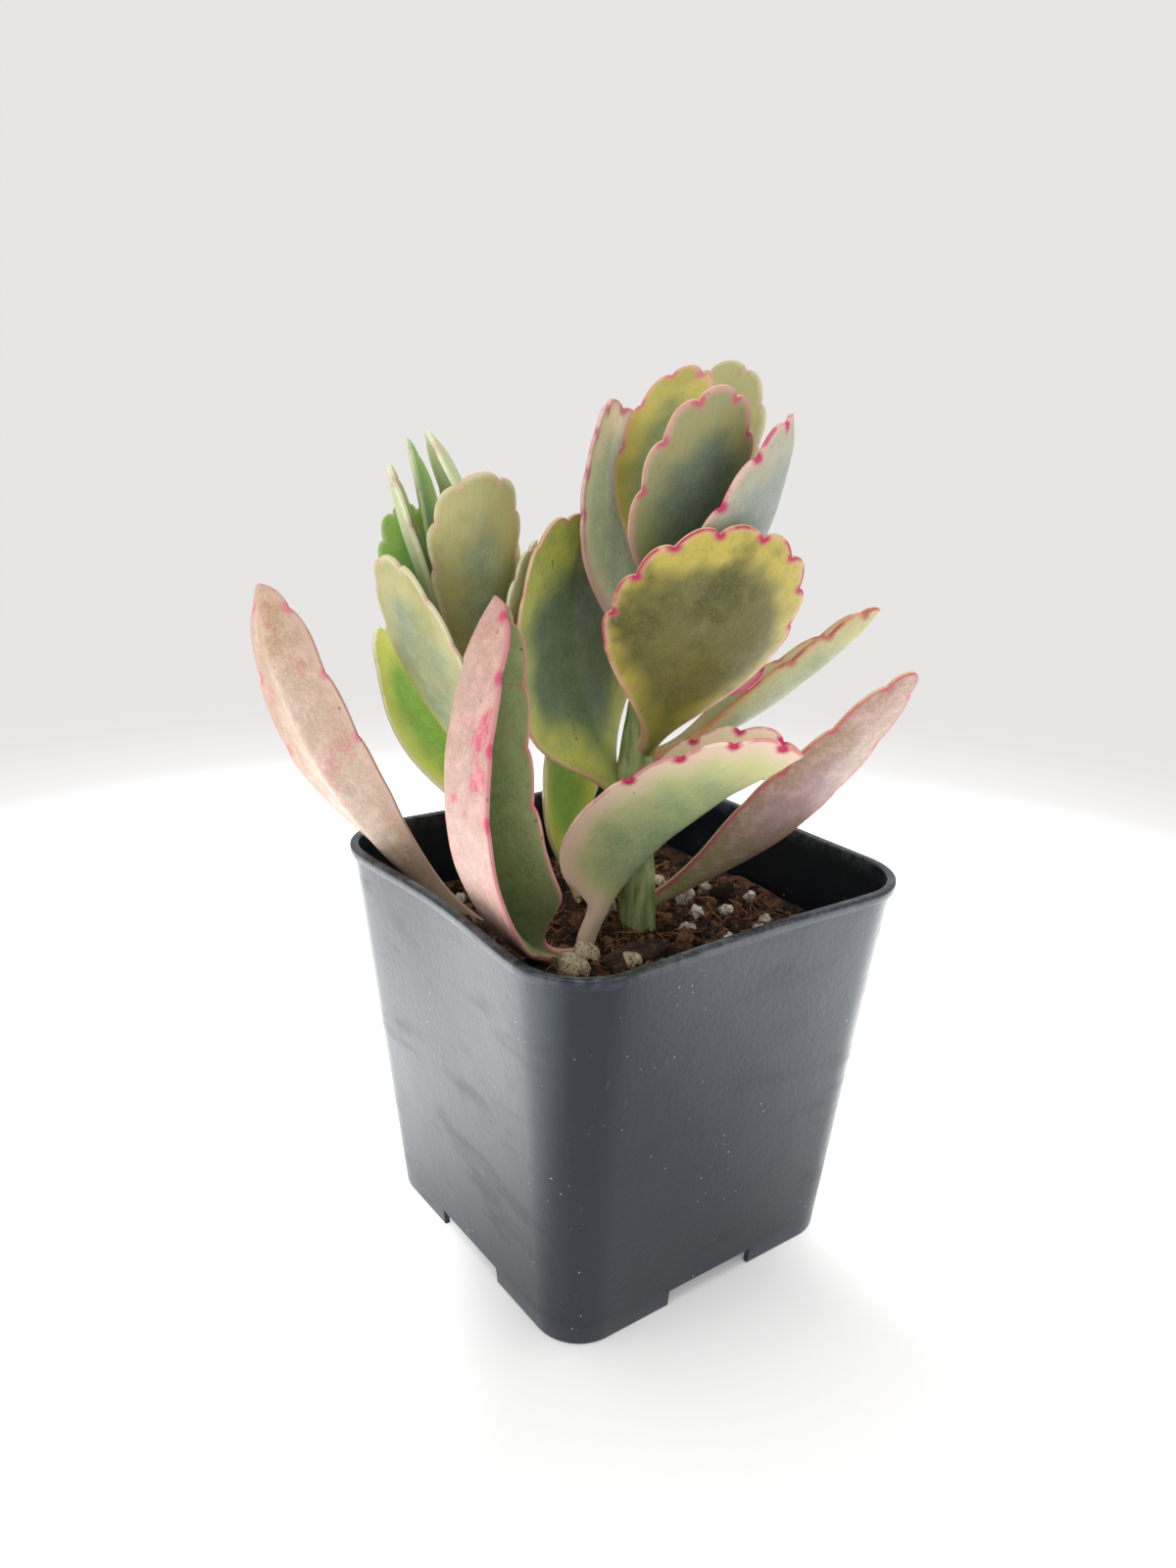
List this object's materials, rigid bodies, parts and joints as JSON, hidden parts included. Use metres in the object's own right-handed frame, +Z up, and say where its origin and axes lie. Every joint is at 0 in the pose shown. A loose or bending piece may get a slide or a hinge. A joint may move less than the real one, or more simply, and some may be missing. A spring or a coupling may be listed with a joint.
{
  "type": "scalloped kalanchoe in a square nursery pot",
  "caption": "Succulent with two fleshy stems of thick scalloped paddle leaves, growing in a square tapered plastic nursery pot.",
  "frame": {"origin": "under the middle of the box of pot and leaves, at the height of the pot's foot", "axes": "+Z up along the stems; the pot's sides lie along X and Y; the side towards -Y and the side towards -X face the viewer in the picture"},
  "size_m": [0.0802, 0.0682, 0.1332],
  "materials": {
    "pot": "satin",
    "mix": "matte",
    "stem": "satin",
    "leaf_olive": "satin",
    "leaf_grey": "satin",
    "leaf_green": "satin",
    "leaf_pink": "satin"
  },
  "bodies": {
    "root": {"pot": "pot", "potting_mix": "mix", "right_stem": "stem", "left_stem": "stem", "right_bud_right_leaf": "leaf_green", "right_bud_left_leaf": "leaf_green", "right_head_back_leaf": "leaf_olive", "right_head_left_leaf": "leaf_olive", "right_head_front_leaf": "leaf_olive", "right_head_right_leaf": "leaf_grey", "right_outer_left_leaf": "leaf_grey", "right_broad_back_leaf": "leaf_olive", "right_broad_front_leaf": "leaf_olive", "right_folded_leaf": "leaf_pink", "right_broad_left_leaf": "leaf_green", "right_hidden_back_leaf": "leaf_olive", "left_bud_front_leaf": "leaf_green", "left_bud_back_leaf": "leaf_green", "left_young_right_leaf": "leaf_grey", "left_young_back_leaf": "leaf_green", "left_young_front_leaf": "leaf_grey", "left_outer_back_leaf": "leaf_green", "left_right_leaf": "leaf_pink", "left_broad_front_leaf": "leaf_grey", "left_broad_left_leaf": "leaf_grey", "left_lower_back_leaf": "leaf_green", "left_hidden_back_leaf": "leaf_grey", "low_folded_front_leaf": "leaf_olive", "low_right_leaf": "leaf_pink", "low_back_leaf": "leaf_green", "low_pink_front_leaf": "leaf_pink", "low_far_left_leaf": "leaf_pink"}
  },
  "joints": []
}
